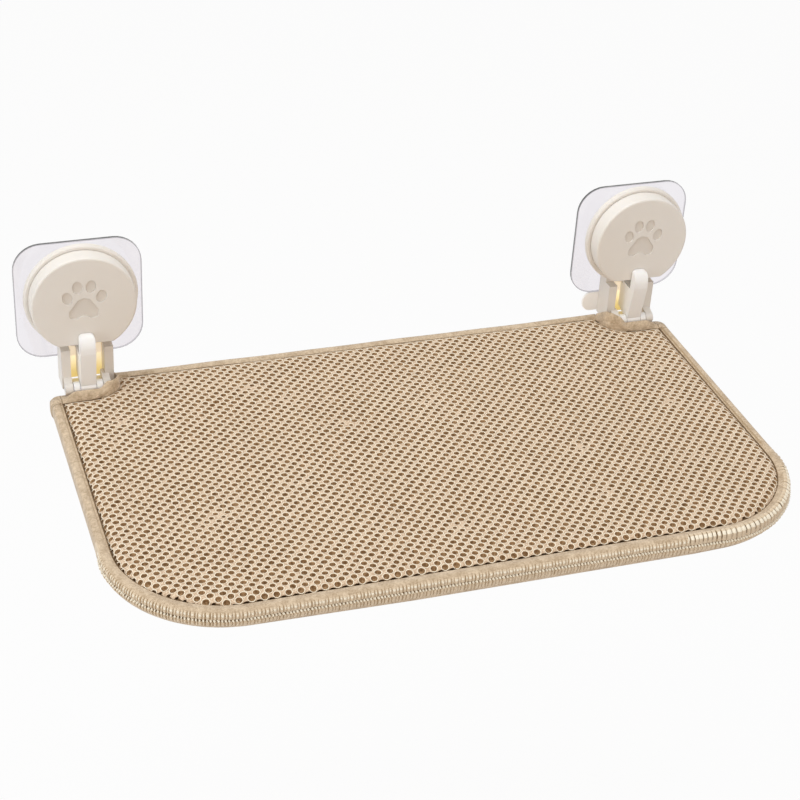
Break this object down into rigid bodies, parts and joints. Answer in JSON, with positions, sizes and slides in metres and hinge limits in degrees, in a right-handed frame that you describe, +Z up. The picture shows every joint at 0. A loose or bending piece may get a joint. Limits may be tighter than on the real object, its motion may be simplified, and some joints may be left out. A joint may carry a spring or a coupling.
{
  "type": "window mounted cat perch",
  "caption": "Padded mesh cat bed on a tube frame that folds up on a pair of suction mounts with twist-lock knobs.",
  "frame": {"origin": "on the window pane, midway between the centres of the two suction pads", "axes": "+X to the viewer's right along the bed's width, +Y into the window, +Z up"},
  "size_m": [0.57, 0.324, 0.1383],
  "materials": {
    "clear_pad": "clear",
    "cream_abs": "satin",
    "white_abs": "satin",
    "white_nylon": "matte",
    "steel": "satin",
    "amber_soft": "translucent",
    "coated_tube": "satin",
    "foam": "matte",
    "beige_mesh": "knitted",
    "base_cloth": "woven",
    "tan_tape": "woven"
  },
  "bodies": {
    "window_mounts": {"pad_left": "clear_pad", "bracket_left": "cream_abs", "glide_washer_left": "white_nylon", "strap_left": "white_abs", "strap_screws_left": "steel", "bumper_left": "amber_soft", "hinge_pin_left": "steel", "pad_right": "clear_pad", "bracket_right": "cream_abs", "glide_washer_right": "white_nylon", "strap_right": "white_abs", "strap_screws_right": "steel", "bumper_right": "amber_soft", "hinge_pin_right": "steel"},
    "bed": {"hinge_arm_left": "white_abs", "hinge_arm_right": "white_abs", "frame_tube": "coated_tube", "back_bar": "coated_tube", "edge_padding": "foam", "foam_core": "foam", "mesh_top": "beige_mesh", "base_cloth": "base_cloth", "edge_binding": "tan_tape", "back_binding": "tan_tape", "notch_binding_left": "tan_tape", "notch_binding_right": "tan_tape"},
    "knob_left": {"knob_left": "cream_abs"},
    "knob_right": {"knob_right": "cream_abs"},
    "puller_left": {"puller_left": "white_nylon", "cross_pin_left": "steel"},
    "puller_right": {"puller_right": "white_nylon", "cross_pin_right": "steel"}
  },
  "joints": [
    {"name": "bed_fold", "type": "hinge", "parent": "window_mounts", "child": "bed", "pos_m": [0, -0.0275, -0.066], "axis": [-1, 0, 0], "range_deg": [0, 78]},
    {"name": "knob_turn_left", "type": "hinge", "parent": "window_mounts", "child": "knob_left", "pos_m": [-0.235, -0.0203, 0.0074], "axis": [0, 1, 0], "range_deg": [0, 90]},
    {"name": "knob_turn_right", "type": "hinge", "parent": "window_mounts", "child": "knob_right", "pos_m": [0.235, -0.0203, 0.0074], "axis": [0, 1, 0], "range_deg": [0, 90]},
    {"name": "puller_slide_left", "type": "slide", "parent": "window_mounts", "child": "puller_left", "axis": [0, 1, 0], "range_m": [0, 0.0025]},
    {"name": "puller_slide_right", "type": "slide", "parent": "window_mounts", "child": "puller_right", "axis": [0, 1, 0], "range_m": [0, 0.0025]}
  ],
  "couplings": [
    {"joint": "puller_slide_left", "follows": "knob_turn_left", "m_per_rad": 0.00159},
    {"joint": "puller_slide_right", "follows": "knob_turn_right", "m_per_rad": 0.00159}
  ]
}
